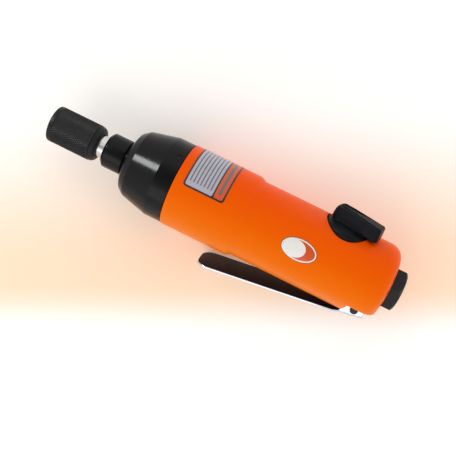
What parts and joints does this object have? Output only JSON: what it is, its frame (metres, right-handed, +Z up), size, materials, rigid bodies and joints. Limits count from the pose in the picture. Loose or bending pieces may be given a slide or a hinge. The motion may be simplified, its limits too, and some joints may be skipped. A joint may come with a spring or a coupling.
{
  "type": "inline air screwdriver",
  "caption": "Straight air tool with a knurled quick-change chuck, black hammer case, orange motor housing, reverse knob, chromed throttle lever and hex air inlet.",
  "frame": {"origin": "centre of the object's box in plan, on the floor it lies on", "axes": "+X along the tool from the chuck to the air inlet, +Z up with the tool lying on its side, knob towards +Y"},
  "size_m": [0.1926, 0.0606, 0.0432],
  "materials": {
    "orange_coat": "satin-gloss powder coat",
    "gloss_black": "gloss black coating",
    "black_steel": "black oxide",
    "black_plastic": "satin moulded",
    "chrome_plate": "bright plated sheet",
    "bright_steel": "ground",
    "iron": "machined",
    "bronze": "machined bearing bronze",
    "phenolic": "fabric laminate",
    "label_white": "printed film"
  },
  "bodies": {
    "housing": {"motor_housing": "orange_coat", "hammer_case": "gloss_black", "nose_collar": "gloss_black", "anvil_bushing": "bronze", "grease_plug": "black_steel", "front_end_plate": "iron", "rear_end_plate": "iron", "cylinder_liner": "iron", "alignment_dowel": "bright_steel", "front_bearing_outer_race": "bright_steel", "rear_bearing_outer_race": "bright_steel", "side_label": "label_white", "name_badge": "label_white", "reverse_bushing": "iron", "throttle_bushing": "bronze", "throttle_spring": "bright_steel", "lever_pin": "black_steel", "inlet_bushing": "black_steel", "inlet_screen": "bronze"},
    "rotor_group": {"rotor": "bright_steel", "rotor_vane_1": "phenolic", "rotor_vane_2": "phenolic", "rotor_vane_3": "phenolic", "rotor_vane_4": "phenolic", "rotor_vane_5": "phenolic", "rotor_vane_6": "phenolic", "hammer_cage": "iron", "hammer_dog_1": "iron", "hammer_dog_2": "iron", "hammer_pin_1": "bright_steel", "hammer_pin_2": "bright_steel", "front_bearing_inner_race": "bright_steel", "front_bearing_caged_balls": "bright_steel", "rear_bearing_inner_race": "bright_steel", "rear_bearing_caged_balls": "bright_steel"},
    "anvil_group": {"anvil": "bright_steel", "bit_detent_ball": "bright_steel", "sleeve_stop_ring": "black_steel", "spring_seat_ring": "black_steel", "sleeve_spring": "bright_steel"},
    "sleeve": {"quick_change_sleeve": "black_steel", "sleeve_end_cap": "black_steel"},
    "lever": {"throttle_lever": "chrome_plate"},
    "throttle": {"throttle_valve": "bright_steel"},
    "reverse": {"reverse_knob": "black_plastic", "reverse_spool": "bright_steel", "knob_screw": "black_steel"}
  },
  "joints": [
    {"name": "rotor_spin", "type": "hinge", "parent": "housing", "child": "rotor_group", "pos_m": [0, 0.00226, 0.02149], "axis": [1, 0, 0], "continuous": true},
    {"name": "anvil_spin", "type": "hinge", "parent": "housing", "child": "anvil_group", "pos_m": [0, 0.00226, 0.02149], "axis": [1, 0, 0], "continuous": true},
    {"name": "sleeve_slide", "type": "slide", "parent": "anvil_group", "child": "sleeve", "axis": [1, 0, 0], "range_m": [0, 0.0032], "stiffness_N_per_m": 900, "springref_m": -0.004, "deforming": ["sleeve_spring"]},
    {"name": "lever_pivot", "type": "hinge", "parent": "housing", "child": "lever", "pos_m": [0.08065, -0.01234, 0.0147], "axis": [0, 0.4218, -0.9067], "range_deg": [0, 6], "stiffness_Nm_per_rad": 1, "springref_deg": -17.19},
    {"name": "throttle_push", "type": "slide", "parent": "housing", "child": "throttle", "axis": [0, 0.9067, 0.4218], "range_m": [0, 0.0012], "deforming": ["throttle_spring"]},
    {"name": "reverse_turn", "type": "hinge", "parent": "housing", "child": "reverse", "pos_m": [0.05955, 0.02039, 0.02993], "axis": [0, 0.9067, 0.4218], "range_deg": [-22, 50]}
  ],
  "couplings": [
    {"joint": "anvil_spin", "follows": "rotor_spin", "ratio": 1},
    {"joint": "throttle_push", "follows": "lever_pivot", "m_per_rad": 0.0103}
  ]
}
